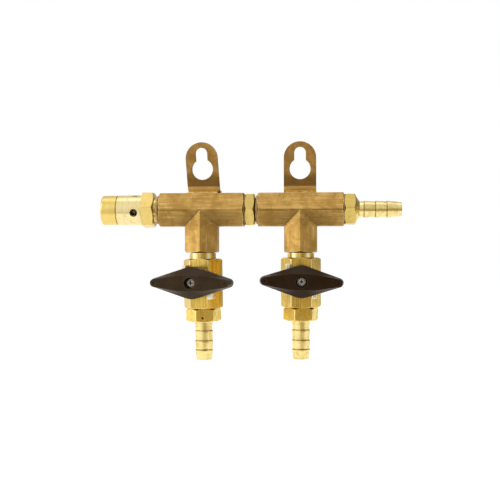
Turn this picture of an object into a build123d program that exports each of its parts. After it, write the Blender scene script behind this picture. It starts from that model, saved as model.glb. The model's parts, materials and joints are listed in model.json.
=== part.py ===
from build123d import *

import os
from math import cos, radians, sin, sqrt, tan

# A two-outlet gas manifold that hangs on two screws by its keyhole brackets. Millimetres.
# The origin is midway between the two hanging holes, on the back faces of the bracket plates.
# +X runs along the manifold to the hose inlet, +Y goes into the panel, +Z is up.
# The run's axis lies in the plane of those back faces, so the manifold hangs plumb.

# Layout
BRANCH_OFFSET = 26.2          # each branch's distance from the middle, along X
HOLE_OFFSET = 25.85           # each hanging hole's distance from the middle
AXIS_DROP = 21.5              # hanging holes down to the run's axis
STEM_DROP = {"left": 37.9, "right": 37.25}    # run's axis down to a valve's handle axis
VALVE_TILT = {"left": 0.8, "right": 0.0}      # a branch's tilt, its lower end towards +X, degrees

# Pipe thread, 1/4 inch taper thread drawn as parallel ridges
THREAD_R = 6.80
THREAD_DEPTH = 0.75
THREAD_PITCH = 1.41
THREAD_LENGTH = 10.0

# Every hexagon
CHAMFER_ANGLE = 30.0          # turned off the corners at its ends
CHAMFER_INSET = 0.15          # how far inside the flats that chamfer starts
NUT_CORNER = 0.3

# Tees
TEE_FLATS = 17.6
BRANCH_FLATS = 17.2
TEE_REACH = 22.6              # centre to each end
TEE_CORNER = 0.7
PORT_R = 6.82
PORT_DEPTH = 11.0
PORT_MOUTH_R = 7.5
PORT_CONE = 1.2
TEE_BORE_R = 4.6

# Wall brackets, strip bent to an L
STRIP = 1.6
BRACKET_WIDTH = 17.05
BRACKET_TOP = 14.4            # above the hanging hole's centre
BEND_R = 3.2                  # inside the bend
FOOT_BACK = 7.4               # rear edge of the foot, behind the run's axis
HANG_HOLE_R = 5.5
SLOT_R = 3.05
SLOT_RISE = 8.5               # hanging hole's centre to the slot's end centre
HOLE_ROUND = 0.35             # punched edge's rounding at the front of the keyhole
LEFT_LEAN = 4.3               # the left plate's lean towards -X, degrees

# Nipple between the tees
NIPPLE_FLATS = 16.4
NIPPLE_HEX = (-3.0, 2.0)
NIPPLE_BORE_R = 4.0

# Inlet hose barb
INLET_FLATS = 15.6
INLET_HEX = (0.25, 6.1)
INLET_CORE_INSET = 0.4        # the turned core inside the hexagon's flats
INLET_VERTEX = 3.0            # front corner, degrees above straight forward
INLET_NECK = (8.3, 4.1)       # cone's end along the axis, neck radius
INLET_BARBS = (10.6, 16.5, 22.45, 30.1)
INLET_BORE_R = 2.5
BARB_R = (4.45, 4.05, 3.6)    # shoulder, valley, tip

# Pressure-relief valve
RELIEF_FLATS = 17.46
RELIEF_HEX = (2.6, 8.9)
RELIEF_VERTEX = 7.0
SLEEVE_R = 7.95
SLEEVE_END = 22.4
SLEEVE_STEP = 0.3             # step and cone between the hexagon and the sleeve
SLEEVE_EDGE = 0.2
CAVITY_R = 5.9
CAVITY_FLOOR = 9.5
CAP_SOCKET_R = 6.62
CAP_SOCKET_FLOOR = 16.6
NOZZLE_BORE_R = 2.6
NOZZLE_R = 3.6
NOZZLE_TOP = 10.5
VENT_R = 2.05
VENT_STATION = 13.0
VENT_TURN = 12.5              # front vent hole, degrees below straight forward
VENTS = 4
CAP_R = 7.85
CAP_END = 30.9
CAP_PLUG = 18.4
CAP_GROOVE = (0.35, 0.5)      # width and depth of the groove at the sleeve
CAP_EDGE = 0.15
CAP_NOSE = (0.25, 0.3, 0.9)   # the end's two-step cone: inset and length of the first, then of both
POPPET_R = 4.6
POPPET = (10.9, 12.9)
POPPET_RECESS = 0.7
RELIEF_DISC_R = 3.9
RELIEF_STEM_R = 1.5
RELIEF_STEM_END = 25.0
RELIEF_GUIDE_R = 1.6
RELIEF_GUIDE_END = 27.4
RELIEF_SPRING_R = (2.7, 3.4)

# Shut-off valves, heights above the handle axis
VALVE_YAW = {"left": -6.0, "right": 2.1}
BODY_FLATS = 18.5
BODY_CORNER = 0.9
BODY = (-14.3, 12.0)
NECK_R = 7.0
NECK_GAP = 0.3                # the plain neck's top to the branch's end
INLET_PASSAGE_R = 3.0
CHAMBER_R = 7.6
CHAMBER_TOP = 7.2
BOSS_R = 7.0
BOSS_FRONT = 14.0
LUG_X = (5.6, 7.9)
LUG_Z = (5.6, 8.9)
LUG_BACK = 3.0
LUG_FRONT = 15.8
LUG_ROUND = 0.4
BALL_R = 6.5
BALL_BORE_R = 3.0
SEAT_R = (3.4, 7.5)
SEAT_NEAR = 4.3
STEM_R = 2.9
STEM_BORE_R = 2.95
STEM_FLANGE_R = 4.0
FLANGE = (7.4, 8.38)
WASHER = (8.4, 9.2)
FLANGE_POCKET_R = 4.1
TANG = (1.6, 5.6)             # width, length
TANG_TIP = 4.8
RING_GROOVES = (10.9, 12.5)   # middle of each O-ring groove
RING_GROOVE = (2.2, 1.0)      # root radius, width
RING = (2.59, 0.33)           # ring radius, section radius
FLATS_FROM = 14.6
STEM_FLATS = 4.0
STEM_END = 24.5
SCREW_HOLE_R = 1.27
SCREW_HOLE_END = 17.5

# Handle, along the handle axis from its back to its front
HANDLE_TURN = {"left": 1.1, "right": 1.7}   # clockwise from level when shut
WING = (8.0, 12.0, 0.0, 2.4, 18.6)    # half width, side radius, flat length, tip radius, tip centre
FACE = (4.0, 4.0, 6.0, 2.0, 18.3)
HUB_R = 7.2
HUB_BACK = 14.6
CROWN_R = 8.25                # the hub's wide part under the wings
CROWN_BACK = 17.2
WING_BACK = 21.5
WING_SHOULDER = 27.0
WING_FRONT = 31.0
WING_ROUND = 0.8
CROWN_ROUND = 1.0
RIB = (19.4, 10.0)
RIB_ROUND = 1.0
PIT = (18.3, 1.0, 0.5)        # moulding pit near each tip: distance out, radius, depth
SOCKET_END = 24.8
SCREW_RECESS_R = 2.85
SCREW_SEAT = 26.6
SCREW_HEAD_R = 2.2
SCREW_HEAD_TOP = 28.1
SCREW_DOME_R = 3.2
SCREW_R = 1.22
SCREW_TIP = 18.2
DRIVE = (0.95, 3.1, 1.1)      # cross recess width, length, depth
DRIVE_TAPER = 0.45            # the recess floor's size against its mouth

# Outlet tailpiece with its check valve, heights above the handle axis
TAIL_YAW = {"left": 11.0, "right": 11.6}
TAIL_FLATS = 16.35
TAIL_CORNER = 0.6
TAIL_PLUG_R = 7.5
TAIL_PLUG_TOP = -7.2
TAIL_HEX_END = -21.15
TAIL_BARBS = (-21.15, -26.15, -31.45, -36.3, -41.5)
TAIL_BARB_R = (4.85, 4.45, 4.0)
TAIL_FIRST_R = 4.75
TAIL_PUNCH = (-1.2, 2.0, 0.55)        # punch mark on the left hexagon: sideways, above its end, size
TAIL_BORE_R = 2.9
CHECK_CHAMBER_R = 4.5
CHECK_CHAMBER_END = -19.4
CHECK_SEAT = (-9.2, 2.5)      # lower face, bore radius
CHECK_DISC = (-10.1, 3.6)
CHECK_POPPET = (-13.2, 3.7, 4.4)   # lower end, body radius, fin radius
CHECK_FINS = 4
CHECK_FIN = (1.0, 1.2)        # thickness and height of a fin
CHECK_SPRING_R = (2.7, 3.3)
TAIL_SEAL = (-12.6, 7.1, 0.44)
TAIL_SEAL_ROOT = 6.6

CLEAR = 0.02                  # between pieces that move against each other


def hexagon(flats, vertex, corner=0.0):
    """A hexagon with one vertex at the angle vertex, its corners rounded."""
    radius = flats / sqrt(3)
    turns = [radians(vertex + 60 * i) for i in range(6)]
    face = Polygon(*[(radius * cos(t), radius * sin(t)) for t in turns], align=None)
    return fillet(face.vertices(), corner) if corner else face


def turned(profile):
    """A lathe-turned solid about Z, from (radius, height) points."""
    return revolve(Plane.XZ * Polygon(*profile, align=None), Axis.Z)


def rod(radius, low, high):
    """A cylinder about Z between two heights."""
    return Pos(0, 0, low) * extrude(Circle(radius), high - low)


def hex_bar(flats, low, high, vertex, corner=0.0, cut_low=True, cut_high=True):
    """A hexagon bar along Z, its corners turned off at the ends that are cut."""
    bar = Pos(0, 0, low) * extrude(hexagon(flats, vertex, corner), high - low)
    full = flats / sqrt(3)
    end = flats / 2 - CHAMFER_INSET
    slope = (full - end) * tan(radians(CHAMFER_ANGLE))
    bottom = [(end, low), (full, low + slope)] if cut_low else [(full, low)]
    top = [(full, high - slope), (end, high)] if cut_high else [(full, high)]
    return bar & turned([(0, low), *bottom, *top, (0, high)])


def ridges(low, high):
    """(radius, height) points of a male thread's ridges between two heights."""
    count = round((high - low) / THREAD_PITCH)
    step = (high - low) / count
    points = []
    for i in range(count):
        points.append((THREAD_R - THREAD_DEPTH, low + i * step))
        points.append((THREAD_R, low + (i + 0.5) * step))
    return [*points, (THREAD_R - THREAD_DEPTH, high)]


def port():
    """The hole cut in a tee's end: mouth at z = 0, running down to the centre."""
    floor = -PORT_DEPTH
    return turned([
        (0, 1), (PORT_MOUTH_R, 1), (PORT_MOUTH_R, 0), (PORT_R, PORT_R - PORT_MOUTH_R), (PORT_R, floor),
        (TEE_BORE_R, floor - PORT_CONE), (TEE_BORE_R, -TEE_REACH), (0, -TEE_REACH),
    ])


def tee_body(tilt):
    """A hexagon tee about its centre: the run along X and one branch down, its port tilted."""
    along_x = Rot(0, 90, 0)
    run = along_x * hex_bar(TEE_FLATS, -TEE_REACH, TEE_REACH, 90, TEE_CORNER)
    branch = hex_bar(BRANCH_FLATS, -TEE_REACH, 0, 90, TEE_CORNER, cut_high=False)
    body = run + branch
    for turn in (Rot(0, 90, 0), Rot(0, -90, 0), Rot(0, -tilt, 0) * Rot(180, 0, 0)):
        body -= turn * Pos(0, 0, TEE_REACH) * port()
    return body


def bracket(lean):
    """A bracket about its hanging hole: a keyhole plate bent back at its base to a foot on the tee."""
    foot = -AXIS_DROP + TEE_FLATS / 2
    above = BRACKET_TOP + 1
    section = Polygon(
        (FOOT_BACK, foot), (-STRIP, foot), (-STRIP, above), (0, above), (0, foot + STRIP),
        (FOOT_BACK, foot + STRIP), align=None,
    )
    inside = section.vertices().sort_by_distance((0, foot + STRIP))[0]
    section = fillet(inside, BEND_R)
    outside = section.vertices().sort_by_distance((-STRIP, foot))[0]
    section = fillet(outside, BEND_R + STRIP)
    angle = extrude(Plane.YZ * section, BRACKET_WIDTH, both=True)

    half = BRACKET_WIDTH / 2
    straight = BRACKET_TOP - half
    below = 2 * abs(foot)
    outline = Pos(0, (straight - below) / 2) * Rectangle(BRACKET_WIDTH, straight + below)
    outline += Pos(0, straight) * Circle(half)
    keyhole = Circle(HANG_HOLE_R) + Pos(0, SLOT_RISE) * Circle(SLOT_R)
    keyhole += Pos(0, SLOT_RISE / 2) * Rectangle(2 * SLOT_R, SLOT_RISE)
    body = angle & Rot(0, -lean, 0) * extrude(Plane.XZ * outline, FOOT_BACK + STRIP, both=True)
    body -= Rot(0, -lean, 0) * extrude(Plane.XZ * keyhole, 2 * STRIP, both=True)
    rim = body.faces().sort_by(Axis.Y)[0].inner_wires()[0].edges()
    return fillet(rim, HOLE_ROUND)


def joining_nipple():
    """The hexagon nipple about the middle of the gap, along Z."""
    gap = BRANCH_OFFSET - TEE_REACH
    reach = gap + THREAD_LENGTH
    low, high = NIPPLE_HEX
    core = turned([(0, -reach), *ridges(-reach, low), *ridges(high, reach), (0, reach)])
    return core + hex_bar(NIPPLE_FLATS, low, high, 90, NUT_CORNER) - rod(NIPPLE_BORE_R, -reach, reach)


def barbs(stations, radii):
    """(radius, height) points of hose barbs: each starts at a shoulder and tapers to the next."""
    shoulder, valley, tip = radii
    points = []
    for start, end in zip(stations, stations[1:]):
        last = end == stations[-1]
        points += [(shoulder, start), (tip if last else valley, end)]
    return points


def inlet_hose_barb():
    """The inlet barb from the tee's end face, along Z."""
    low, high = INLET_HEX
    cone_end, neck = INLET_NECK
    tip = INLET_BARBS[-1]
    core_r = INLET_FLATS / 2 - INLET_CORE_INSET
    core = turned([
        (0, -THREAD_LENGTH), *ridges(-THREAD_LENGTH, low), (core_r, low),
        (core_r, high), (neck, cone_end), (neck, INLET_BARBS[0]),
        *barbs(INLET_BARBS, BARB_R), (0, tip),
    ])
    nut = hex_bar(INLET_FLATS, low, high, -90 - INLET_VERTEX, NUT_CORNER)
    return core + nut - rod(INLET_BORE_R, -THREAD_LENGTH, tip)


def relief_body():
    """The relief valve's body from the tee's end face, along Z: thread, hexagon and vented sleeve."""
    low, high = RELIEF_HEX
    neck = THREAD_R - THREAD_DEPTH / 2
    root = SLEEVE_R - SLEEVE_STEP
    core = turned([
        (0, -THREAD_LENGTH), *ridges(-THREAD_LENGTH, 0), (neck, low), (root, low), (root, high),
        (SLEEVE_R, high + SLEEVE_STEP), (SLEEVE_R, SLEEVE_END - SLEEVE_EDGE),
        (SLEEVE_R - SLEEVE_EDGE, SLEEVE_END), (0, SLEEVE_END),
    ])
    body = core + hex_bar(RELIEF_FLATS, low, high, -90 + RELIEF_VERTEX, NUT_CORNER, cut_high=False)
    body -= turned([
        (0, CAVITY_FLOOR), (CAVITY_R, CAVITY_FLOOR), (CAVITY_R, CAP_SOCKET_FLOOR),
        (CAP_SOCKET_R, CAP_SOCKET_FLOOR), (CAP_SOCKET_R, SLEEVE_END), (0, SLEEVE_END),
    ])
    body += rod(NOZZLE_R, CAVITY_FLOOR - 0.5, NOZZLE_TOP)
    body -= rod(NOZZLE_BORE_R, -THREAD_LENGTH, NOZZLE_TOP)
    for i in range(VENTS):
        toward = Rot(0, 0, -90 - VENT_TURN + 360 / VENTS * i) * Rot(0, 90, 0)
        body -= Pos(0, 0, VENT_STATION) * toward * rod(VENT_R, CAVITY_R - 1, SLEEVE_R + 1)
    return body


def relief_cap():
    """The cap that closes the sleeve and guides the relief poppet's stem."""
    width, depth = CAP_GROOVE
    joint = SLEEVE_END + width
    plug = CAP_SOCKET_R - CLEAR
    inset, first, nose = CAP_NOSE
    body = turned([
        (0, CAP_PLUG), (plug, CAP_PLUG), (plug, SLEEVE_END), (CAP_R - depth, SLEEVE_END),
        (CAP_R - depth, joint), (CAP_R - CAP_EDGE, joint), (CAP_R, joint + CAP_EDGE), (CAP_R, CAP_END - nose),
        (CAP_R - inset, CAP_END - first), (CAP_R - nose, CAP_END), (0, CAP_END),
    ])
    return body - rod(RELIEF_GUIDE_R, CAP_PLUG, RELIEF_GUIDE_END)


def relief_poppet():
    """The relief poppet: a disc with a recess for its rubber and a guide stem."""
    low, high = POPPET
    body = rod(POPPET_R, low, high) + rod(RELIEF_STEM_R, high, RELIEF_STEM_END)
    return body - rod(RELIEF_DISC_R + CLEAR, low, low + POPPET_RECESS)


def relief_seal():
    """The rubber disc that closes the relief valve's nozzle."""
    return rod(RELIEF_DISC_R, NOZZLE_TOP + CLEAR, POPPET[0] + POPPET_RECESS)


def spring_space(radii, low, high):
    """The tube that a coil spring fills between two heights."""
    inner, outer = radii
    return rod(outer, low, high) - rod(inner, low, high)


def valve_body(branch_end):
    """A valve's body about its handle axis: neck up, front towards -Y."""
    low, high = BODY
    neck_top = branch_end - NECK_GAP
    thread_top = branch_end + THREAD_LENGTH
    neck = turned([(0, 0), (NECK_R, 0), (NECK_R, neck_top), *ridges(neck_top, thread_top), (0, thread_top)])
    body = neck + hex_bar(BODY_FLATS, low, high, 0, BODY_CORNER)
    body += Rot(90, 0, 0) * rod(BOSS_R, 0, BOSS_FRONT)
    for side in (-1, 1):
        lug = Box(LUG_X[1] - LUG_X[0], LUG_FRONT - LUG_BACK, LUG_Z[1] - LUG_Z[0])
        middle = Pos(side * sum(LUG_X) / 2, -(LUG_BACK + LUG_FRONT) / 2, -side * sum(LUG_Z) / 2)
        body += middle * fillet(lug.edges(), LUG_ROUND)
    body -= rod(CHAMBER_R, low, CHAMBER_TOP)
    body -= rod(INLET_PASSAGE_R, CHAMBER_TOP, thread_top)
    body -= Rot(90, 0, 0) * rod(FLANGE_POCKET_R, 0, WASHER[1])
    return body - Rot(90, 0, 0) * rod(STEM_BORE_R, WASHER[1], BOSS_FRONT)


def ball_seats():
    """The two rings that the ball turns between, above it and below it."""
    inner, outer = SEAT_R
    ring = rod(outer, SEAT_NEAR, CHAMBER_TOP) - rod(inner, SEAT_NEAR, CHAMBER_TOP)
    ring -= Sphere(BALL_R + CLEAR)
    return [ring, Rot(180, 0, 0) * ring]


def thrust_washer():
    """The washer between the stem's flange and the body, along the handle axis."""
    low, high = WASHER
    return rod(STEM_FLANGE_R, low, high) - rod(STEM_BORE_R, low, high)


def outlet_tailpiece(punched):
    """The outlet: a plug into the body, a hexagon and a hose barb, bored for the check valve."""
    seal_at, seal_r, seal_section = TAIL_SEAL
    groove = (seal_at + seal_section, seal_at - seal_section)
    barb_top = TAIL_BARBS[0]
    tip = TAIL_BARBS[-1]
    body = turned([
        (0, TAIL_PLUG_TOP), (TAIL_PLUG_R, TAIL_PLUG_TOP), (TAIL_PLUG_R, groove[0]),
        (TAIL_SEAL_ROOT, groove[0]), (TAIL_SEAL_ROOT, groove[1]), (TAIL_PLUG_R, groove[1]),
        (TAIL_PLUG_R, TAIL_HEX_END), (TAIL_FIRST_R, barb_top), (TAIL_BARB_R[1], TAIL_BARBS[1]),
        *barbs(TAIL_BARBS[1:], TAIL_BARB_R), (0, tip),
    ])
    body += hex_bar(TAIL_FLATS, TAIL_HEX_END, BODY[0], 0, TAIL_CORNER)
    if punched:
        aside, above, size = TAIL_PUNCH
        body -= Pos(aside, -TAIL_FLATS / 2, TAIL_HEX_END + above) * Sphere(size)
    body -= rod(CHECK_CHAMBER_R, CHECK_CHAMBER_END, TAIL_PLUG_TOP)
    return body - rod(TAIL_BORE_R, tip, CHECK_CHAMBER_END)


def body_seal():
    """The ring that seals the tailpiece in the body."""
    height, radius, section = TAIL_SEAL
    return Pos(0, 0, height) * Torus(radius, section)


def check_seat():
    """The ring at the top of the check valve's chamber."""
    low, bore = CHECK_SEAT
    return rod(CHECK_CHAMBER_R - CLEAR, low, TAIL_PLUG_TOP) - rod(bore, low, TAIL_PLUG_TOP)


def check_seal():
    """The rubber disc on the check poppet."""
    low, radius = CHECK_DISC
    return rod(radius, low, CHECK_SEAT[0] - CLEAR)


def check_poppet():
    """The check valve's poppet, kept central by fins."""
    low, radius, fins = CHECK_POPPET
    thickness, height = CHECK_FIN
    top = CHECK_DISC[0]
    body = rod(radius, top - height, top) + rod(CHECK_SPRING_R[0] - 5 * CLEAR, low, top)
    for i in range(CHECK_FINS):
        fin = Box(fins, thickness, height, align=(Align.MIN, Align.CENTER, Align.MAX))
        body += Rot(0, 0, 360 / CHECK_FINS * i) * Pos(0, 0, top) * fin & rod(fins, low, top)
    return body


def stem():
    """The valve's stem along the handle axis: tang, flange, ring grooves and flats."""
    low, high = FLANGE
    root, width = RING_GROOVE
    body = rod(STEM_FLANGE_R, low, high) + rod(STEM_R, high, STEM_END)
    tang_width, tang_length = TANG
    tang = Pos(0, 0, TANG_TIP) * extrude(Rectangle(tang_width, tang_length), low - TANG_TIP)
    body += tang
    for middle in RING_GROOVES:
        ring = rod(STEM_R + 1, middle - width / 2, middle + width / 2)
        body -= ring - rod(root, middle - width / 2, middle + width / 2)
    flats = Pos(0, 0, FLATS_FROM) * extrude(Rectangle(2 * STEM_R, STEM_FLATS), STEM_END - FLATS_FROM)
    top = rod(STEM_R, FLATS_FROM, STEM_END)
    body -= top - flats
    return body - rod(SCREW_HOLE_R, SCREW_HOLE_END, STEM_END)


def stem_rings():
    """The two O-rings round the stem."""
    radius, section = RING
    return [Pos(0, 0, middle) * Torus(radius, section) for middle in RING_GROOVES]


def ball():
    """The ball in its shut position: its bore across the flow and its slot along it."""
    body = Sphere(BALL_R) - Rot(0, 90, 0) * rod(BALL_BORE_R, -BALL_R, BALL_R)
    slot = Rectangle(TANG[0] + 2 * CLEAR, 2 * BALL_R)
    return body - Pos(0, 0, TANG_TIP - CLEAR) * extrude(slot, BALL_R)


def wing_outline(shape):
    """A wing's outline: rounded sides, level over the flat length, that run straight to round tips."""
    half_width, side_r, flat, tip_r, tip = shape
    across = side_r - half_width
    lens = Pos(0, across) * Circle(side_r) & Pos(0, -across) * Circle(side_r)
    rounds = [Pos(side * flat, 0) * lens for side in (-1, 1)]
    rounds += [Pos(side * tip, 0) * Circle(tip_r) for side in (-1, 1)]
    return make_hull([edge for part in rounds for edge in part.edges()])


def handle():
    """The moulded handle along the handle axis: wings, hub, stop rib, stem socket and screw recess."""
    outline = wing_outline(WING)
    wings = Pos(0, 0, WING_BACK) * extrude(outline, WING_SHOULDER - WING_BACK)
    wings = fillet(wings.edges().group_by(Axis.Z)[0], WING_ROUND)
    face = Pos(0, 0, WING_FRONT) * wing_outline(FACE)
    wings += loft([Pos(0, 0, WING_SHOULDER) * outline, face], ruled=True)
    crown = rod(CROWN_R, CROWN_BACK, WING_SHOULDER)
    crown = fillet(crown.edges().group_by(Axis.Z)[-1], CROWN_ROUND)
    rib = fillet(Rectangle(*RIB).vertices(), RIB_ROUND)
    body = wings + crown + rod(HUB_R, HUB_BACK, WING_BACK)
    body += Pos(0, 0, HUB_BACK) * extrude(rib, WING_BACK + WING_ROUND - HUB_BACK)
    socket = Circle(STEM_R + CLEAR) & Rectangle(2 * STEM_R + 1, STEM_FLATS + 2 * CLEAR)
    body -= Pos(0, 0, HUB_BACK) * extrude(socket, SOCKET_END - HUB_BACK)
    body -= rod(SCREW_RECESS_R, SCREW_SEAT, WING_FRONT)
    out, pit_r, pit_depth = PIT
    for side in (-1, 1):
        body -= Pos(side * out, 0, 0) * rod(pit_r, WING_FRONT - pit_depth, WING_FRONT)
    return body - rod(SCREW_HOLE_R + CLEAR, SOCKET_END, SCREW_SEAT)


def handle_screw():
    """The domed screw with a tapered cross recess, along the handle axis."""
    dome = Pos(0, 0, SCREW_HEAD_TOP - SCREW_DOME_R) * Sphere(SCREW_DOME_R)
    body = rod(SCREW_HEAD_R, SCREW_SEAT, SCREW_HEAD_TOP) & dome
    body += rod(SCREW_R, SCREW_TIP, SCREW_SEAT)
    width, length, depth = DRIVE
    for turn in (0, 90):
        mouth = Pos(0, 0, SCREW_HEAD_TOP) * Rectangle(length, width)
        floor = Pos(0, 0, SCREW_HEAD_TOP - depth) * Rectangle(DRIVE_TAPER * length, DRIVE_TAPER * width)
        body -= Rot(0, 0, turn) * loft([floor, mouth], ruled=True)
    return body


def save(name, solids, place):
    """Write one node: its solid, or its group of separate solids, moved into place."""
    group = solids if isinstance(solids, list) else [solids]
    moved = [place * solid for body in group for solid in body.solids()]
    export_step(Compound(children=moved) if len(moved) > 1 else moved[0], f"parts/{name}.step")


def save_valve(side, centre):
    """Write one shut-off valve's nodes."""
    axis = centre * Rot(0, -VALVE_TILT[side], 0) * Pos(0, 0, -STEM_DROP[side])
    body = axis * Rot(0, 0, VALVE_YAW[side])
    forward = body * Rot(90, 0, 0)
    rotor = forward * Rot(0, 0, -HANDLE_TURN[side])
    tail = axis * Rot(0, 0, TAIL_YAW[side])
    pieces = {
        "valve_body": (valve_body(STEM_DROP[side] - TEE_REACH), body),
        "ball_seats": (ball_seats(), body),
        "thrust_washer": (thrust_washer(), forward),
        "stem": (stem(), rotor),
        "stem_rings": (stem_rings(), rotor),
        "ball": (ball(), rotor),
        "handle": (handle(), rotor),
        "handle_screw": (handle_screw(), rotor),
        "outlet_barb": (outlet_tailpiece(side == "left"), tail),
        "body_seal": (body_seal(), tail),
        "check_seat": (check_seat(), tail),
        "check_seal": (check_seal(), tail),
        "check_poppet": (check_poppet(), tail),
        "check_spring": (spring_space(CHECK_SPRING_R, CHECK_CHAMBER_END, CHECK_DISC[0] - CHECK_FIN[1]), tail),
    }
    for name, (solids, place) in pieces.items():
        save(f"{side}_{name}", solids, place)


os.makedirs("parts", exist_ok=True)

run_axis = Pos(0, 0, -AXIS_DROP)
for side, sign, lean in (("left", -1, LEFT_LEAN), ("right", 1, 0.0)):
    tee_centre = run_axis * Pos(sign * BRANCH_OFFSET, 0, 0)
    save(f"{side}_tee_body", tee_body(VALVE_TILT[side]), tee_centre)
    save(f"{side}_bracket", bracket(lean), Pos(sign * HOLE_OFFSET, 0, 0))
    save_valve(side, tee_centre)

save("joining_nipple", joining_nipple(), run_axis * Rot(0, 90, 0))

right_end = run_axis * Pos(BRANCH_OFFSET + TEE_REACH, 0, 0) * Rot(0, 90, 0)
save("inlet_hose_barb", inlet_hose_barb(), right_end)

left_end = run_axis * Pos(-BRANCH_OFFSET - TEE_REACH, 0, 0) * Rot(0, -90, 0)
save("relief_body", relief_body(), left_end)
save("relief_cap", relief_cap(), left_end)
save("relief_poppet", relief_poppet(), left_end)
save("relief_seal", relief_seal(), left_end)
save("relief_spring", spring_space(RELIEF_SPRING_R, POPPET[1], CAP_PLUG), left_end)
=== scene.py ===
import json
import math

import bmesh
import bpy
from mathutils import Matrix, Vector, noise


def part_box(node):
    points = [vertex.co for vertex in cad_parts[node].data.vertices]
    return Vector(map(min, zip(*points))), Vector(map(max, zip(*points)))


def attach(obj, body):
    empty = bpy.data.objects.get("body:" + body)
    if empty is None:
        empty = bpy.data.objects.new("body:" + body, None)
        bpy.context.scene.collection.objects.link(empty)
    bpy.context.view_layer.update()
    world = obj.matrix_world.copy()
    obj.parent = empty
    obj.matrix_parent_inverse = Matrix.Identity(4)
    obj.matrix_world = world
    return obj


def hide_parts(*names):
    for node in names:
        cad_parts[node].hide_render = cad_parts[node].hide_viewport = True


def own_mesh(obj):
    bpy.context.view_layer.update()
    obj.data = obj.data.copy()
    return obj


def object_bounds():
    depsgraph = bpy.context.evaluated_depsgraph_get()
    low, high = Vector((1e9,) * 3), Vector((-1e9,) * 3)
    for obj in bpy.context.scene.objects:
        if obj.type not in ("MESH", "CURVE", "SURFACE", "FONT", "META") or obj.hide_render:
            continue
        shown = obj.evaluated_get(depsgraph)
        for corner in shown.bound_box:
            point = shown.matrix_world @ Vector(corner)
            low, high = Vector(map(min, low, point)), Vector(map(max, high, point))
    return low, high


# A two-outlet brass gas manifold with keyhole brackets, in metres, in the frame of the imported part:
# +X along the manifold to the hose inlet, +Y into the panel it hangs on, +Z up.

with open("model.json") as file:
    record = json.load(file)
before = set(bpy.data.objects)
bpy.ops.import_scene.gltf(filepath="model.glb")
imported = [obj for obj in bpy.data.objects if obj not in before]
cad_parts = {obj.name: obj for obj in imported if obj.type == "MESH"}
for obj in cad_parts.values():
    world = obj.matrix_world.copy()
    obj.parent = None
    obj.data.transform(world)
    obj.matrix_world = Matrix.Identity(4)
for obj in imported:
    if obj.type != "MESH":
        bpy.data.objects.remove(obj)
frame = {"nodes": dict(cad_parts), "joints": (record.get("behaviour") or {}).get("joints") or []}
cad_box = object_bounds()
nodes = frame["nodes"]
MM = 0.001
SIDES = ("left", "right")

# Camera: it looks at a point on the run's plane, a little right of straight ahead
CAMERA_DISTANCE = 0.498
CAMERA_AZIMUTH = 4.5
CAMERA_ROLL = -0.07
VIEW_WIDTH = 0.265
LOOK_AT = (-0.0007, 0.0, -0.0428)

FLOOR_GAP = 0.06              # floor below the lowest barb
FLOOR_SIZE = 6.0
FLOOR_FRONT = 0.25            # the floor's edge in front of the manifold, out of the view

# Studio light: a white tent, with lobes of (direction, sharpness, gain) and one dark patch
TENT = 0.80
TENT_LOBES = [
    ((-0.90, -0.42, 0.10), 2.0, 0.38),
    ((0.90, 0.43, 0.00), 2.0, -0.66),
    ((-1.00, -0.10, 0.00), 30.0, 0.70),
    ((1.00, -0.10, 0.00), 30.0, 0.80),
    ((0.00, 0.00, 1.00), 30.0, 1.60),
]
DARK_TOWARD = (0.38, -0.84, -0.39)
DARK_INNER = 20.0
DARK_OUTER = 41.0
DARK_TINT = (0.46, 0.33, 0.10)    # what the dark patch leaves of the tent's light

# Places on the pieces where their surface changes
HANDLE_Z = {"left": -0.0594, "right": -0.05875}
PUNCH_MARK = {"left": (-0.02502, -0.00825, -0.07854), "right": None}
BARB_TOP = -0.02115           # below the handle's axis, as are the barbs' steps
OUTLET_STEPS = (-0.0260, -0.0313, -0.03615)
INLET_STEPS = (0.0593, 0.0652, 0.07115)
SLEEVE_FROM = -0.0579
LUGS_FRONT = -0.0150

# Colours used in more than one material or place
# painted highlight on the upright corners of hexagons
CORNER_HIGHLIGHT = (1.0, 0.93, 0.62)
# painted highlight on the brackets' bend
BEND_HIGHLIGHT = (1.0, 0.80, 0.40)
PUNCH_DARK = (0.09, 0.03, 0.005)

# Springs, in millimetres
WIRE = {"relief_spring": 0.34, "left_check_spring": 0.28, "right_check_spring": 0.28}
TURNS = {"relief_spring": 5.0, "left_check_spring": 7.5, "right_check_spring": 7.5}
LIFTS = {"relief_spring": "relief_lift", "left_check_spring": "left_check_lift",
         "right_check_spring": "right_check_lift"}

# Filler metal under the brackets, in millimetres
BEND_R = 4.8                  # outside of the brackets' bend
BRAZE_HEIGHT = 0.95
BRAZE_HALF = 8.3               # half its length along the run
BRAZE_TOE = 0.8               # how far the filler runs forward of where it leaves the bend


def joint(name):
    """The frame's joint of that name."""
    return next(j for j in frame["joints"] if j["name"] == name)


def middle(name):
    """The middle of a node's box."""
    low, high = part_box(name)
    return (Vector(low) + Vector(high)) / 2


# Mesh helpers ---------------------------------------------------------------------------

def add_piece(name, mesh, body, smooth=True):
    """Links a mesh as a piece that rides on a body."""
    piece = bpy.data.objects.new(name, mesh)
    bpy.context.scene.collection.objects.link(piece)
    for face in mesh.polygons:
        face.use_smooth = smooth
    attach(piece, body)
    return piece


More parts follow.
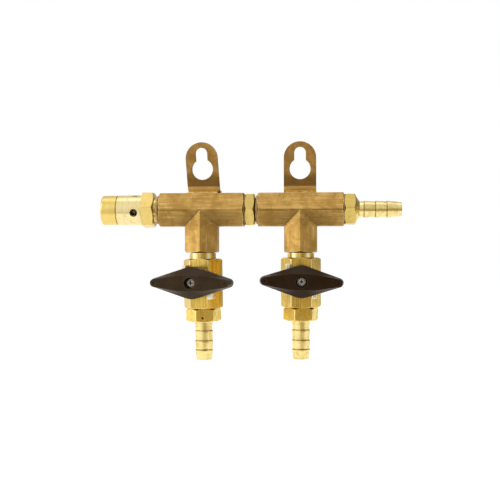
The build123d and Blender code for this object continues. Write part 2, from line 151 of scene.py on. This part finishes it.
def skin_loops(name, loops, closed=False):
    """A mesh through loops of equally many points; closed joins the last loop to the first."""
    mesh = bpy.data.meshes.new(name)
    built = bmesh.new()
    rings = [[built.verts.new(point) for point in loop] for loop in loops]
    pairs = list(zip(rings, rings[1:]))
    if closed:
        pairs.append((rings[-1], rings[0]))
    for lower, upper in pairs:
        for i in range(len(lower)):
            j = (i + 1) % len(lower)
            built.faces.new((lower[i], lower[j], upper[j], upper[i]))
    if not closed:
        built.faces.new(list(reversed(rings[0])))
        built.faces.new(rings[-1])
    bmesh.ops.recalc_face_normals(built, faces=built.faces)
    built.to_mesh(mesh)
    built.free()
    return mesh


def tube(name, path, radius, count=10):
    """A round wire along a list of points, closed at both ends."""
    loops = []
    side = (path[1] - path[0]).orthogonal().normalized()
    for i, at in enumerate(path):
        ahead = path[min(i + 1, len(path) - 1)] - path[max(i - 1, 0)]
        ahead.normalize()
        side = (side - side.dot(ahead) * ahead).normalized()
        up = ahead.cross(side)
        turns = [2 * math.pi * k / count for k in range(count)]
        loops.append([at + radius * (math.cos(t) * side + math.sin(t) * up) for t in turns])
    return skin_loops(name, loops)


def flat_normals(piece):
    """Smooth shading that follows large faces and keeps sharp edges sharp."""
    weighted = piece.modifiers.new("weighted", "WEIGHTED_NORMAL")
    weighted.keep_sharp = True
    weighted.weight = 70


def soften(name, width, segments=3, angle=28):
    """Rounds the edges of a CAD node by that width in millimetres, without changing its mesh."""
    piece = nodes[name]
    weld = piece.modifiers.new("weld", "WELD")
    weld.merge_threshold = 0.002 * MM
    flat = piece.modifiers.new("flat", "DECIMATE")
    flat.decimate_type = "DISSOLVE"
    flat.angle_limit = math.radians(0.3)
    bevel = piece.modifiers.new("bevel", "BEVEL")
    bevel.width = width * MM
    bevel.segments = segments
    bevel.limit_method = "ANGLE"
    bevel.angle_limit = math.radians(angle)
    bevel.use_clamp_overlap = True
    flat_normals(piece)


# Materials ------------------------------------------------------------------------------

class Look:
    """A procedural material being put together from nodes."""

    def __init__(self, name, color, metallic=0.0, roughness=0.5, **fixed):
        self.material = bpy.data.materials.new(name)
        self.material.use_nodes = True
        self.tree = self.material.node_tree
        self.shader = self.tree.nodes["Principled BSDF"]
        self.set("Base Color", (*color, 1))
        self.set("Metallic", metallic)
        self.set("Roughness", roughness)
        for socket, value in fixed.items():
            self.set(socket.replace("_", " "), value)
        coordinates = self.node("ShaderNodeTexCoord")
        self.position = coordinates.outputs["Object"]

    def set(self, socket, value):
        """Sets or links one of the shader's own sockets."""
        self.feed(self.shader.inputs[socket], value)

    def feed(self, socket, value):
        if isinstance(value, bpy.types.NodeSocket):
            self.tree.links.new(value, socket)
        else:
            socket.default_value = value

    def node(self, kind, inputs=None, **settings):
        made = self.tree.nodes.new(kind)
        for key, value in settings.items():
            setattr(made, key, value)
        for key, value in (inputs or {}).items():
            self.feed(made.inputs[key], value)
        return made

    def stretched(self, stretch):
        """The position, scaled per axis."""
        scaled = self.node("ShaderNodeVectorMath", {0: self.position, 1: stretch}, operation="MULTIPLY")
        return scaled.outputs[0]

    def noise(self, size, stretch=(1, 1, 1), detail=3.0, rough=0.55, distort=0.0, seed=0.0):
        """Noise from 0 to 1 with features of about that size in millimetres."""
        made = self.node("ShaderNodeTexNoise", {
            "Vector": self.stretched(stretch), "W": seed, "Scale": 1 / (size * MM), "Detail": detail,
            "Roughness": rough, "Distortion": distort,
        }, noise_dimensions="4D")
        return made.outputs["Fac"]

    def ramp(self, value, low, high, start=0.0, end=1.0):
        """Maps low..high smoothly to start..end."""
        return self.node("ShaderNodeMapRange", {
            "Value": value, "From Min": low, "From Max": high, "To Min": start, "To Max": end,
        }, interpolation_type="SMOOTHSTEP").outputs["Result"]

    def math(self, operation, a, b=0.0):
        return self.node("ShaderNodeMath", {0: a, 1: b}, operation=operation).outputs[0]

    def mix(self, factor, a, b):
        """Colour a where the factor is 0, b where it is 1."""
        a = (*a, 1) if isinstance(a, tuple) else a
        b = (*b, 1) if isinstance(b, tuple) else b
        made = self.node("ShaderNodeMix", data_type="RGBA")
        factor_in, a_in, b_in = (made.inputs[i] for i in (0, 6, 7))
        self.feed(factor_in, factor)
        self.feed(a_in, a)
        self.feed(b_in, b)
        return made.outputs[2]

    def near(self, value, at, width):
        """1 where a value is at a place, falling to 0 that far from it."""
        away = self.math("ABSOLUTE", self.math("SUBTRACT", value, at))
        return self.ramp(away, 0.0, width, 1.0, 0.0)

    def part(self, axis):
        """One coordinate of the position."""
        return self.node("ShaderNodeSeparateXYZ", {0: self.position}).outputs[axis]

    def crevice(self, reach):
        """1 in corners and gaps, 0 in the open, with that reach in millimetres."""
        occlusion = self.node("ShaderNodeAmbientOcclusion", {"Distance": reach * MM}, samples=8)
        return self.math("SUBTRACT", 1.0, occlusion.outputs["AO"])

    def edges(self, radius):
        """1 on edges sharper than the radius in millimetres, 0 elsewhere."""
        rounded = self.node("ShaderNodeBevel", {"Radius": radius * MM}, samples=6)
        plain = self.node("ShaderNodeNewGeometry")
        dot = self.node("ShaderNodeVectorMath", {0: rounded.outputs[0], 1: plain.outputs["Normal"]},
                        operation="DOT_PRODUCT").outputs["Value"]
        return self.ramp(self.math("SUBTRACT", 1.0, dot), 0.01, 0.12)

    def corner_highlights(self):
        """1 on the rounded upright corners of a hexagon that stands on its end, where a highlight is painted,
        0 on its flats.
        """
        normal = self.node("ShaderNodeSeparateXYZ", {0: self.node("ShaderNodeNewGeometry").outputs["Normal"]})
        across = self.math("ABSOLUTE", normal.outputs["X"])
        upright = self.near(normal.outputs["Z"], 0.0, 0.4)
        return self.math("MULTIPLY", self.near(across, 0.5, 0.22), upright)

    def bump(self, *layers):
        """Stacks (height, depth in millimetres) layers on the surface."""
        normal = None
        for height, depth in layers:
            inputs = {"Height": height, "Distance": depth * MM, "Strength": 1.0}
            if normal:
                inputs["Normal"] = normal
            normal = self.node("ShaderNodeBump", inputs).outputs["Normal"]
        self.set("Normal", normal)


def tarnished(name, light, dark, stain_and_shade, branch_below=None):
    """Drawn brass bar gone brown: streaks along the bar, blotches, painted shade on the lower part of the run
    and in corners, brighter worn edges.
    """
    look = Look(name, light, metallic=1.0, roughness=0.4)
    along_x = look.noise(0.9, (0.06, 1, 1), detail=5, rough=0.65)
    along_z = look.noise(0.9, (1, 1, 0.06), detail=5, rough=0.65, seed=2.0)
    if branch_below is None:
        streaks = along_z
    else:
        lower = look.ramp(look.part(2), branch_below - 0.5 * MM, branch_below + 0.5 * MM)
        streaks = look.node("ShaderNodeMix", {"Factor": lower, "A": along_z, "B": along_x}).outputs["Result"]
    blotches = look.noise(7.0, detail=6, rough=0.65, distort=0.6, seed=1.0)
    specks = look.ramp(look.noise(1.1, detail=3, seed=4.0), 0.62, 0.72)
    body = look.mix(look.ramp(blotches, 0.38, 0.64), light, dark)
    body = look.mix(look.ramp(streaks, 0.44, 0.66, 0.0, 0.85), body, dark)
    body = look.mix(look.ramp(streaks, 0.30, 0.43, 0.55, 0.0), body, WORN)
    body = look.mix(look.math("MULTIPLY", specks, 0.65), body, stain_and_shade)
    if branch_below is not None:
        ridge = look.near(look.part(2), run_z - 0.45 * MM, 0.75 * MM)
        patches = look.ramp(look.noise(2.2, (0.3, 1, 1), seed=21.0), 0.35, 0.6, 0.1, 0.75)
        grime = look.math("MULTIPLY", ridge, patches)
        body = look.mix(grime, body, stain_and_shade)
        # painted shade: the lower part of the run is darkened toward the stain colour
        under = look.ramp(look.part(2), run_z - 2 * MM, run_z, 0.18, 0.0)
        body = look.mix(look.math("MULTIPLY", under, lower), body, stain_and_shade)
    # painted shade in corners and gaps
    body = look.mix(look.ramp(look.crevice(1.6), 0.05, 0.20, 0.0, 0.95), body, stain_and_shade)
    worn = look.math("MULTIPLY", look.edges(0.8), look.ramp(look.noise(2.4, seed=7.0), 0.36, 0.54))
    body = look.mix(worn, body, WORN)
    look.set("Base Color", body)
    look.set("Roughness", look.ramp(blotches, 0.3, 0.7, 0.34, 0.5))
    look.bump((streaks, 0.02), (look.noise(0.8, detail=4, seed=3.0), 0.03), (specks, -0.02))
    return look.material


def banded_tarnish(name, light, dark, stain_and_shade, band_from, band_to):
    """Tarnished strip, darkest in a band above the bend, with a painted highlight on the bend below the band
    and painted shade in its corners.
    """
    look = Look(name, light, metallic=1.0, roughness=0.4)
    streaks = look.noise(0.8, (1, 1, 0.08), detail=5, rough=0.65, seed=2.0)
    blotches = look.noise(5.0, detail=6, rough=0.65, distort=0.6, seed=16.0)
    body = look.mix(look.ramp(blotches, 0.38, 0.64), light, dark)
    body = look.mix(look.ramp(streaks, 0.42, 0.68, 0.0, 0.5), body, dark)
    # a darker band above the bend
    dark_band = look.math("MULTIPLY", look.ramp(look.part(2), band_from - 2.2 * MM, band_from),
                      look.ramp(look.part(2), band_to, band_to + 5 * MM, 1.0, 0.0))
    body = look.mix(look.math("MULTIPLY", dark_band, 0.7), body, stain_and_shade)
    # painted highlight: the bend below the dark band is lighter, standing in for its reflection
    bend_highlight = look.ramp(look.part(2), band_from - 2.6 * MM, band_from - 0.6 * MM, 1.0, 0.0)
    body = look.mix(bend_highlight, body, BEND_HIGHLIGHT)
    # painted shade in corners and gaps
    body = look.mix(look.ramp(look.crevice(0.8), 0.3, 0.8, 0.0, 0.6), body, stain_and_shade)
    look.set("Base Color", body)
    look.set("Roughness", look.ramp(blotches, 0.3, 0.7, 0.36, 0.5))
    look.bump((streaks, 0.015), (look.noise(0.8, detail=4, seed=3.0), 0.03))
    return look.material


def fitting(name, nut, turned, dark, axis, border, steps=(), beyond=1, punched=None):
    """A machined fitting: a hexagon, with a dark punch mark on it where one is given, painted highlights on
    its upright corners when it stands on end, and past the border, along the axis, a brighter turned part
    with painted shade lines at its steps, and painted shade in corners."""
    look = Look(name, turned, metallic=1.0, roughness=0.24)
    along = look.part(axis)
    outward = look.math("MULTIPLY", along, beyond)
    past = look.ramp(outward, beyond * border - 0.1 * MM, beyond * border + 0.1 * MM)
    rings = look.noise(0.30, tuple(1.0 if i == axis else 0.02 for i in range(3)), detail=4)
    drawn = look.noise(0.55, tuple(0.05 if i == axis else 1.0 for i in range(3)), detail=4, seed=17.0)
    marks = look.node("ShaderNodeMix", {"Factor": past, "A": drawn, "B": rings}).outputs["Result"]
    smears = look.noise(3.0, detail=5, distort=0.8, seed=5.0)
    body = look.mix(past, nut, turned)
    body = look.mix(look.ramp(marks, 0.35, 0.75, 0.0, 0.40), body, dark)
    body = look.mix(look.ramp(smears, 0.42, 0.70, 0.0, 0.5), body, dark)
    # painted highlight on the upright corners of the tail's hexagon
    if axis == 2:
        rubbed = look.math("SUBTRACT", look.corner_highlights(), past)
        body = look.mix(look.math("MAXIMUM", rubbed, 0.0), body, CORNER_HIGHLIGHT)
    # painted shade: dark lines at the barb's steps
    for step in steps:
        line = look.near(along, step, 0.55 * MM)
        line = look.math("MULTIPLY", line, look.ramp(look.noise(1.5, seed=18.0 + step), 0.3, 0.6, 0.45, 1.0))
        body = look.mix(line, body, tuple(0.42 * c for c in dark))
    # painted shade in corners and gaps
    body = look.mix(look.ramp(look.crevice(1.2), 0.2, 0.8, 0.0, 0.75), body, tuple(0.35 * c for c in dark))
    # the punch mark is darkened
    if punched:
        apart = look.node("ShaderNodeVectorMath", {0: look.position, 1: punched}, operation="DISTANCE")
        hole = look.ramp(apart.outputs["Value"], 0.5 * MM, 0.75 * MM, 1.0, 0.0)
        body = look.mix(hole, body, PUNCH_DARK)
    look.set("Base Color", body)
    look.set("Roughness", look.ramp(smears, 0.3, 0.75, 0.2, 0.36))
    look.bump((marks, 0.008), (look.noise(2.5, detail=2, seed=6.0), 0.01))
    return look.material


def turned_brass(name, light, dark, axis, roughness=0.24, lines=0.008):
    """Bright lathe-turned brass: fine rings round the axis, faint handling marks, painted shade in corners.
    """
    look = Look(name, light, metallic=1.0, roughness=roughness)
    stretch = tuple(1.0 if i == axis else 0.02 for i in range(3))
    rings = look.noise(0.3, stretch, detail=4)
    smears = look.noise(4.0, detail=5, distort=0.8, seed=5.0)
    body = look.mix(look.ramp(rings, 0.3, 0.8, 0.0, 0.35), light, dark)
    body = look.mix(look.ramp(smears, 0.5, 0.8, 0.0, 0.3), body, dark)
    # painted shade in corners and gaps
    body = look.mix(look.ramp(look.crevice(1.2), 0.25, 0.9, 0.0, 0.8), body, tuple(0.45 * c for c in dark))
    look.set("Base Color", body)
    look.set("Roughness", look.ramp(smears, 0.3, 0.75, roughness - 0.05, roughness + 0.1))
    look.bump((rings, lines), (look.noise(2.5, detail=2, seed=6.0), 0.01))
    return look.material


def valve_brass(name, light, dark, lugs_front):
    """Golden machined brass of the valves: drawn vertical lines, small dings, painted shade in corners,
    painted highlights on the edges and upright corners, and lugs in front painted near-white, partly their
    own machined metal and partly a painted highlight."""
    look = Look(name, light, metallic=1.0, roughness=0.26)
    drawn = look.noise(0.7, (1, 1, 0.05), detail=5, rough=0.65)
    smears = look.noise(4.0, (1, 1, 0.5), detail=5, distort=0.7, seed=8.0)
    pits = look.ramp(look.noise(0.9, detail=3, seed=9.0), 0.66, 0.74)
    body = look.mix(look.ramp(drawn, 0.40, 0.66, 0.0, 0.9), light, dark)
    body = look.mix(look.ramp(smears, 0.45, 0.72, 0.0, 0.45), body, dark)
    body = look.mix(look.math("MULTIPLY", pits, 0.5), body, tuple(0.4 * c for c in dark))
    # painted shade in corners and gaps
    body = look.mix(look.ramp(look.crevice(1.6), 0.15, 0.8, 0.0, 0.8), body, tuple(0.35 * c for c in dark))
    # painted highlight on the edges
    body = look.mix(look.edges(0.6), body, (1.0, 0.90, 0.56))
    # painted highlight on the upright corners
    body = look.mix(look.corner_highlights(), body, CORNER_HIGHLIGHT)
    # lugs in front: machined tops painted near-white, partly their own bright metal, partly a painted
    # highlight
    lugs = look.ramp(look.part(1), lugs_front, lugs_front + 1.5 * MM, 0.9, 0.0)
    body = look.mix(lugs, body, (0.97, 0.93, 0.80))
    look.set("Base Color", body)
    look.set("Roughness", look.ramp(smears, 0.3, 0.75, 0.2, 0.36))
    look.bump((drawn, 0.015), (look.noise(1.5, detail=3, seed=10.0), 0.02), (pits, -0.015))
    return look.material


def handle_plastic(name, color, rubbed):
    """Dark brown moulded plastic with a fine spark-eroded grain and rubbed edges."""
    look = Look(name, color, roughness=0.38, Specular_IOR_Level=0.16)
    look.set("Specular Tint", (1.0, 0.80, 0.58, 1))
    grain = look.noise(0.28, detail=4)
    cloud = look.noise(5.0, detail=5, seed=11.0)
    body = look.mix(look.ramp(cloud, 0.35, 0.7), color, tuple(1.5 * c for c in color))
    body = look.mix(look.math("MULTIPLY", look.edges(0.6), 0.6), body, rubbed)
    look.set("Base Color", body)
    look.set("Roughness", look.ramp(cloud, 0.3, 0.7, 0.32, 0.46))
    look.bump((grain, 0.012), (look.noise(3.0, detail=2, seed=12.0), 0.03))
    return look.material


def screw_steel(name, front):
    """Zinc-plated steel, dull white, with painted shade in its corners and in the cross recess sunk behind
    the front of the head.
    """
    look = Look(name, (0.9, 0.88, 0.84), metallic=0.4, roughness=0.4)
    cloud = look.noise(0.7, detail=4)
    body = look.mix(look.ramp(cloud, 0.4, 0.75, 0.0, 0.3), (1.0, 0.97, 0.92), (0.72, 0.67, 0.60))
    # painted shade: corners, and everything behind the front of the head, darkened nearly to black
    body = look.mix(look.ramp(look.crevice(0.5), 0.35, 0.60), body, (0.03, 0.02, 0.015))
    body = look.mix(look.ramp(look.part(1), front + 0.82 * MM, front + 0.92 * MM), body, (0.02, 0.012, 0.01))
    look.set("Base Color", body)
    look.bump((look.noise(0.4, detail=3, seed=13.0), 0.01))
    return look.material


def bright_metal(name, color, roughness, mottle=0.12):
    """Plated steel: nearly white, with faint clouding and painted shade in corners."""
    look = Look(name, color, metallic=1.0, roughness=roughness)
    cloud = look.noise(0.8, detail=4)
    darker = tuple(0.72 * c for c in color)
    body = look.mix(look.ramp(cloud, 0.4, 0.75, 0.0, 0.6), color, darker)
    # painted shade in corners and gaps
    body = look.mix(look.ramp(look.crevice(0.8), 0.2, 0.9), body, tuple(0.25 * c for c in color))
    look.set("Base Color", body)
    look.set("Roughness", look.ramp(cloud, 0.3, 0.7, roughness, roughness + mottle))
    look.bump((look.noise(0.3, detail=3, seed=13.0), 0.006))
    return look.material


def soft_plastic(name, color, roughness, depth=0.01):
    """Plain moulded or machined plastic or rubber with a faint grain."""
    look = Look(name, color, roughness=roughness)
    cloud = look.noise(1.5, detail=3, seed=14.0)
    look.set("Base Color", look.mix(look.ramp(cloud, 0.35, 0.7), color, tuple(0.82 * c for c in color)))
    look.set("Roughness", look.ramp(cloud, 0.3, 0.7, roughness - 0.05, roughness + 0.05))
    look.bump((look.noise(0.25, detail=3, seed=15.0), depth))
    return look.material


run_z = middle("joining_nipple").z
tee_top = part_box("right_bracket")[0][2]
WORN = (0.92, 0.70, 0.32)

LOOKS = {
    "tee": tarnished("tarnished_tee_brass", (0.64, 0.40, 0.12), (0.42, 0.24, 0.06), (0.13, 0.066, 0.016),
                     branch_below=2 * run_z - tee_top),
    "bracket": banded_tarnish("tarnished_bracket_brass", (0.46, 0.27, 0.08), (0.30, 0.165, 0.045),
                            (0.13, 0.06, 0.012), tee_top + 4.6 * MM, tee_top + 7.0 * MM),
    "nipple": turned_brass("nipple_brass", (0.72, 0.53, 0.16), (0.50, 0.34, 0.08), 0),
    "inlet": fitting("inlet_brass", (0.68, 0.51, 0.15), (0.98, 0.82, 0.38), (0.50, 0.33, 0.07), 0,
                     INLET_STEPS[0] - 4.0 * MM, INLET_STEPS),
    "relief": fitting("relief_brass", (0.76, 0.57, 0.18), (0.92, 0.78, 0.42), (0.68, 0.50, 0.18), 0,
                      SLEEVE_FROM, beyond=-1),
    "cap": turned_brass("relief_cap_brass", (0.84, 0.64, 0.20), (0.64, 0.45, 0.12), 0, roughness=0.3,
                        lines=0.02),
    "turned_z": turned_brass("turned_brass_along_z", (0.82, 0.60, 0.19), (0.56, 0.37, 0.09), 2),
    "shaded": turned_brass("shaded_brass", (0.10, 0.06, 0.03), (0.06, 0.035, 0.015), 0, roughness=0.5),
    "valve": valve_brass("valve_brass", (0.86, 0.60, 0.14), (0.52, 0.34, 0.06), LUGS_FRONT),
    "left_handle": handle_plastic("left_handle_plastic", (0.026, 0.016, 0.008), (0.10, 0.065, 0.035)),
    "right_handle": handle_plastic("right_handle_plastic", (0.014, 0.006, 0.002), (0.08, 0.05, 0.025)),
    "screw": screw_steel("zinc_screw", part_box("right_handle_screw")[0][1]),
    "chrome": bright_metal("chromed_ball", (0.85, 0.86, 0.87), 0.08, mottle=0.03),
    "spring": bright_metal("spring_steel", (0.62, 0.61, 0.60), 0.28),
    "seat": soft_plastic("white_seat", (0.78, 0.77, 0.72), 0.4),
    "poppet": soft_plastic("poppet_plastic", (0.62, 0.60, 0.52), 0.45),
    "rubber": soft_plastic("seal_rubber", (0.02, 0.02, 0.021), 0.55, depth=0.02),
    "sealant": soft_plastic("thread_sealant", (0.66, 0.46, 0.18), 0.6, depth=0.05),
}
for side, axis_z in HANDLE_Z.items():
    LOOKS[f"{side}_tail"] = fitting(f"{side}_tailpiece_brass", (0.98, 0.73, 0.19), (0.94, 0.77, 0.33),
                                    (0.56, 0.36, 0.07), 2, axis_z + BARB_TOP,
                                    [axis_z + step for step in OUTLET_STEPS], beyond=-1,
                                    punched=PUNCH_MARK[side])


def paint(piece, look):
    """Gives a piece its material, in every slot it has."""
    piece.data.materials.clear()
    piece.data.materials.append(LOOKS[look])


# CAD nodes that are shown as they are ---------------------------------------------------

for side in SIDES:
    soften(f"{side}_tee_body", 0.25)
    soften(f"{side}_bracket", 0.25)
    soften(f"{side}_valve_body", 0.30)
    soften(f"{side}_outlet_barb", 0.12)
    soften(f"{side}_handle", 0.35)
    soften(f"{side}_handle_screw", 0.06)
soften("joining_nipple", 0.15)
soften("inlet_hose_barb", 0.12)
soften("relief_body", 0.15)
soften("relief_cap", 0.12)

CAD_LOOKS = {
    "joining_nipple": "nipple", "inlet_hose_barb": "inlet", "relief_body": "relief",
    "relief_cap": "cap", "relief_poppet": "shaded", "relief_seal": "rubber",
}
SIDE_LOOKS = {
    "tee_body": "tee", "bracket": "bracket", "valve_body": "valve",
    "ball_seats": "seat", "thrust_washer": "seat", "body_seal": "rubber", "check_seat": "turned_z",
    "check_poppet": "poppet", "check_seal": "rubber", "stem": "turned_z", "stem_rings": "rubber",
    "ball": "chrome", "handle_screw": "screw",
}
for side in SIDES:
    CAD_LOOKS |= {f"{side}_{name}": look for name, look in SIDE_LOOKS.items()}
    CAD_LOOKS[f"{side}_handle"] = f"{side}_handle"
    CAD_LOOKS[f"{side}_outlet_barb"] = f"{side}_tail"
for name, look in CAD_LOOKS.items():
    paint(nodes[name], look)


# Springs, sealant and filler metal --------------------------------------------------------

def coil_height(turn, turns, length, wire):
    """How far along a spring its wire is after that many turns: its end turns lie closed."""
    closed = 2 * wire
    if turn < 1:
        return turn * closed
    if turn > turns - 1:
        return length - (turns - turn) * closed
    return closed + (turn - 1) / (turns - 2) * (length - 2 * closed)


def add_spring(name):
    """A coil spring in the space of its CAD node, along the axis of its poppet's lift."""
    lift = joint(LIFTS[name])
    axis = Vector(lift["axis"]).normalized()
    low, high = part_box(name)
    size = Vector(high) - Vector(low)
    wire = WIRE[name] * MM
    main = max(range(3), key=lambda i: abs(axis[i]))
    across = min(size[i] for i in range(3) if i != main)
    length = size[main] - across * math.sqrt(1 - axis[main] ** 2)
    radius = across / 2 - wire
    side = axis.orthogonal().normalized()
    up = axis.cross(side)
    start = middle(name) - axis * (length / 2 - wire)
    steps = int(TURNS[name] * 28)
    path = []
    for i in range(steps + 1):
        turn = TURNS[name] * i / steps
        angle = 2 * math.pi * turn
        along = coil_height(turn, TURNS[name], length - 2 * wire, wire)
        path.append(start + along * axis + radius * (math.cos(angle) * side + math.sin(angle) * up))
    spring = add_piece(f"{name}_coil", tube(f"{name}_coil", path, wire), "manifold")
    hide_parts(name)
    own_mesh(spring)
    paint(spring, "spring")


def uneven(point, size, seed):
    """Smooth noise from -1 to 1 at a point, with features of about that size in millimetres."""
    return noise.noise(Vector(point) / (size * MM) + Vector((seed, 0, 0)))


def add_bead(name, centre, radius, section, seed):
    """A ragged ring of thread sealant squeezed out round a thread that runs along X."""
    loops = []
    for i in range(96):
        turn = 2 * math.pi * i / 96
        outward = Vector((0, math.cos(turn), math.sin(turn)))
        at = centre + outward * radius
        ragged = 1 + 0.5 * uneven(at, 1.6, seed) + 0.35 * uneven(at, 0.6, seed + 7)
        loop = []
        for k in range(12):
            round_turn = 2 * math.pi * k / 12
            away = math.cos(round_turn) * outward + math.sin(round_turn) * Vector((1, 0, 0))
            loop.append(at + section * ragged * away)
        loops.append(loop)
    bead = add_piece(name, skin_loops(name, loops, closed=True), "manifold")
    paint(bead, "sealant")


def add_braze(side):
    """The fillet of filler metal in the wedge between a bracket's bend and the tee's top."""
    bend_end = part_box(f"{side}_bracket")[0][1] + BEND_R * MM
    middle_x = middle(f"{side}_tee_body").x
    half = BRAZE_HALF * MM
    loops = []
    for i in range(61):
        x = middle_x - half + 2 * half * i / 60
        size = BRAZE_HEIGHT * MM * (1 + 0.3 * uneven((x, 0, 0), 2.5, len(side)))
        leaves = bend_end - math.sqrt((BEND_R * MM) ** 2 - (BEND_R * MM - size) ** 2)
        toe = BRAZE_TOE * MM
        profile = [(bend_end, 0.0), (leaves - toe, 0.0), (leaves - 0.5 * toe, 0.25 * size),
                   (leaves - 0.15 * toe, 0.6 * size), (leaves, size), (bend_end, 0.3 * size)]
        loops.append([(x, y, tee_top + z - 0.05 * MM) for y, z in profile])
    braze = add_piece(f"{side}_braze", skin_loops(f"{side}_braze", loops), "manifold")
    paint(braze, "bracket")


for name in WIRE:
    add_spring(name)
for side in SIDES:
    add_braze(side)
# Each bead's place along the run, then its radius and section radius in millimetres
beads = {
    "relief_sealant": (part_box("left_tee_body")[0][0] - 0.9 * MM, 7.0, 0.55),
    "nipple_left_sealant": (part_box("left_tee_body")[1][0] + 0.30 * MM, 7.3, 0.38),
    "nipple_right_sealant": (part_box("right_tee_body")[0][0] - 0.45 * MM, 7.1, 0.45),
    "inlet_sealant": (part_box("right_tee_body")[1][0] + 0.25 * MM, 7.6, 0.36),
}
for seed, (name, (x, radius, section)) in enumerate(beads.items()):
    add_bead(name, Vector((x, 0, run_z)), radius * MM, section * MM, seed)


# Camera, light and stage ----------------------------------------------------------------

def add_camera():
    """The camera, at its distance and azimuth from the point it looks at."""
    data = bpy.data.cameras.new("camera")
    data.sensor_width = 36.0
    data.lens = data.sensor_width * CAMERA_DISTANCE / VIEW_WIDTH
    data.clip_start = 0.01
    data.clip_end = 50.0
    camera = bpy.data.objects.new("camera", data)
    bpy.context.scene.collection.objects.link(camera)
    turn = math.radians(CAMERA_AZIMUTH)
    away = Vector((math.sin(turn), -math.cos(turn), 0.0))
    camera.location = Vector(LOOK_AT) + CAMERA_DISTANCE * away
    facing = (-away).to_track_quat("-Z", "Y").to_matrix().to_4x4()
    roll = Matrix.Rotation(math.radians(CAMERA_ROLL), 4, "Z")
    camera.rotation_euler = (facing @ roll).to_euler()
    bpy.context.scene.camera = camera


def add_world():
    """A white tent of light, brighter and darker toward its lobes, with a dark patch right of the camera and
    below it. The camera itself sees plain white."""
    world = bpy.data.worlds.new("studio")
    bpy.context.scene.world = world
    world.use_nodes = True
    tree = world.node_tree
    tree.nodes.clear()
    output = tree.nodes.new("ShaderNodeOutputWorld")
    direction = tree.nodes.new("ShaderNodeTexCoord").outputs["Generated"]

    def feed(socket, value):
        if isinstance(value, bpy.types.NodeSocket):
            tree.links.new(value, socket)
        else:
            socket.default_value = value

    def math_node(operation, a, b):
        made = tree.nodes.new("ShaderNodeMath")
        made.operation = operation
        feed(made.inputs[0], a)
        feed(made.inputs[1], b)
        return made.outputs[0]

    def nearness(toward):
        """The cosine of the angle to a direction."""
        dot = tree.nodes.new("ShaderNodeVectorMath")
        dot.operation = "DOT_PRODUCT"
        feed(dot.inputs[0], direction)
        feed(dot.inputs[1], Vector(toward).normalized())
        return dot.outputs["Value"]

    total = TENT
    for toward, sharpness, gain in TENT_LOBES:
        lobe = math_node("POWER", math_node("MAXIMUM", nearness(toward), 0.0), sharpness)
        total = math_node("ADD", math_node("MULTIPLY", lobe, gain), total)
    dark = tree.nodes.new("ShaderNodeMapRange")
    dark.interpolation_type = "SMOOTHSTEP"
    feed(dark.inputs["Value"], nearness(DARK_TOWARD))
    dark.inputs["From Min"].default_value = math.cos(math.radians(DARK_OUTER))
    dark.inputs["From Max"].default_value = math.cos(math.radians(DARK_INNER))
    tint = tree.nodes.new("ShaderNodeMix")
    tint.data_type = "RGBA"
    factor, open_tent, dark_patch = (tint.inputs[i] for i in (0, 6, 7))
    feed(factor, dark.outputs["Result"])
    feed(open_tent, (1.0, 0.99, 0.97, 1))
    feed(dark_patch, (*DARK_TINT, 1))
    lit = tree.nodes.new("ShaderNodeBackground")
    feed(lit.inputs["Color"], tint.outputs[2])
    feed(lit.inputs["Strength"], total)
    plain = tree.nodes.new("ShaderNodeBackground")
    plain.inputs["Color"].default_value = (1, 1, 1, 1)
    plain.inputs["Strength"].default_value = 1.0
    choose = tree.nodes.new("ShaderNodeMixShader")
    path = tree.nodes.new("ShaderNodeLightPath")
    feed(choose.inputs[0], path.outputs["Is Camera Ray"])
    feed(choose.inputs[1], lit.outputs[0])
    feed(choose.inputs[2], plain.outputs[0])
    feed(output.inputs["Surface"], choose.outputs[0])


def add_light(name, at, size, power, toward):
    """A square soft light at a place, aimed at another."""
    data = bpy.data.lights.new(name, "AREA")
    data.size = size
    data.energy = power
    light = bpy.data.objects.new(name, data)
    bpy.context.scene.collection.objects.link(light)
    light.location = at
    light.rotation_euler = (Vector(toward) - Vector(at)).to_track_quat("-Z", "Y").to_euler()


def add_floor():
    """A plain pale floor under the manifold, bright enough to meet the background without a line."""
    height = cad_box[0][2] - FLOOR_GAP
    mesh = bpy.data.meshes.new("floor")
    half = FLOOR_SIZE / 2
    corners = [(-half, -FLOOR_FRONT), (half, -FLOOR_FRONT), (half, half), (-half, half)]
    corners = [(x, y, height) for x, y in corners]
    mesh.from_pydata(corners, [], [(0, 1, 2, 3)])
    floor = bpy.data.objects.new("floor", mesh)
    bpy.context.scene.collection.objects.link(floor)
    look = Look("pale_floor", (0.86, 0.86, 0.85), roughness=0.9)
    look.set("Emission Color", (1, 1, 1, 1))
    look.set("Emission Strength", 0.35)
    mesh.materials.append(look.material)


add_camera()
add_world()
add_light("key", (-0.60, -0.45, 0.30), 0.5, 1.2, LOOK_AT)
add_floor()
view_settings = bpy.context.scene.view_settings
view_settings.view_transform = "Standard"
view_settings.look = "None"
